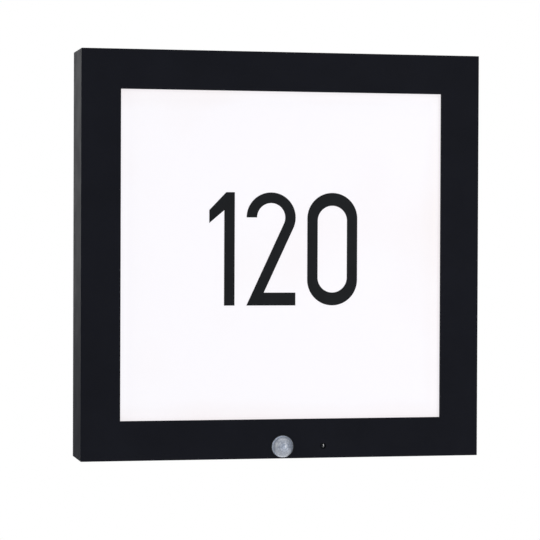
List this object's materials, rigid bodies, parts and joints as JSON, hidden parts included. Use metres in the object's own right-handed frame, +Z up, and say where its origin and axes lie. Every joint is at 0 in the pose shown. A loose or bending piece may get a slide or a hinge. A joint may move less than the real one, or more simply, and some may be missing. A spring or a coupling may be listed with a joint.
{
  "type": "outdoor wall light",
  "caption": "Square outdoor wall light: a dark metal frame round a lit opal number panel, with a domed motion sensor, a light sensor and a head that pulls off its wall plate.",
  "frame": {"origin": "on the wall, at the centre of the wall plate's four slots", "axes": "+X to the viewer's right, +Y into the wall, +Z up; the lit panel faces -Y"},
  "size_m": [0.284, 0.0486, 0.2861],
  "materials": {
    "anthracite_paint": "fine matt powder coat",
    "opal_acrylic": "satin opal",
    "black_foil": "matt foil",
    "lens_polymer": "moulded, faintly ribbed",
    "clear_polymer": "clear",
    "smoked_polymer": "smoked, polished tip",
    "silicone": "matt",
    "black_rubber": "matt",
    "white_plastic": "matt",
    "dark_plastic": "fine grain",
    "grey_plastic": "matt",
    "zinc_steel": "zinc plated",
    "spring_steel": "blued",
    "stainless": "satin",
    "brass": "drawn",
    "board_white": "white coated",
    "board_green": "lacquered",
    "phosphor": "cast",
    "ferrite": "matt",
    "sleeve_blue": "film sleeve",
    "detector_can": "drawn",
    "lead_sheath": "matt"
  },
  "bodies": {
    "wall_bracket": {"wall_plate": "zinc_steel", "weld_nuts": "zinc_steel", "spring_clips": "spring_steel", "clip_rivets": "zinc_steel", "locking_screws": "stainless"},
    "head": {"board_rivets": "white_plastic", "cable_grommet": "black_rubber", "cover_screws": "stainless", "diffuser": "opal_acrylic", "diffuser_gasket": "silicone", "driver_board": "board_green", "driver_capacitors": "sleeve_blue", "driver_case": "white_plastic", "driver_lid": "white_plastic", "driver_screws": "stainless", "driver_transformer": "ferrite", "front_casing": "anthracite_paint", "housing_screws": "stainless", "housing_seal": "silicone", "led_board_1": "board_white", "led_board_2": "board_white", "led_board_3": "board_white", "led_board_4": "board_white", "led_chips": "phosphor", "led_lead": "lead_sheath", "led_lenses": "clear_polymer", "led_plug": "white_plastic", "lens_seal": "black_rubber", "light_guide": "smoked_polymer", "light_sensor": "clear_polymer", "mains_lead": "lead_sheath", "numeral_one": "black_foil", "numeral_two": "black_foil", "numeral_zero": "black_foil", "pir_detector": "detector_can", "rear_housing": "dark_plastic", "reflector_tray": "white_plastic", "sensor_board": "board_green", "sensor_lead": "lead_sheath", "sensor_lens": "lens_polymer", "sensor_plug": "white_plastic", "sensor_screws": "stainless", "terminal_block": "grey_plastic", "terminal_cover": "dark_plastic", "terminal_cover_seal": "silicone", "terminal_screws": "stainless", "terminal_sleeves": "brass", "tray_screws": "stainless", "trimmer_pots": "dark_plastic"},
    "time_dial": {"time_dial": "white_plastic"},
    "lux_dial": {"lux_dial": "white_plastic"}
  },
  "joints": [
    {"name": "head_pull_off", "type": "slide", "parent": "wall_bracket", "child": "head", "axis": [0, -1, 0], "range_m": [0, 0.06]},
    {"name": "time_dial_turn", "type": "hinge", "parent": "head", "child": "time_dial", "pos_m": [-0.022, -0.0353, -0.1393], "axis": [0, 0, 1], "range_deg": [-135, 135]},
    {"name": "lux_dial_turn", "type": "hinge", "parent": "head", "child": "lux_dial", "pos_m": [-0.034, -0.0353, -0.1393], "axis": [0, 0, 1], "range_deg": [-135, 135]}
  ]
}
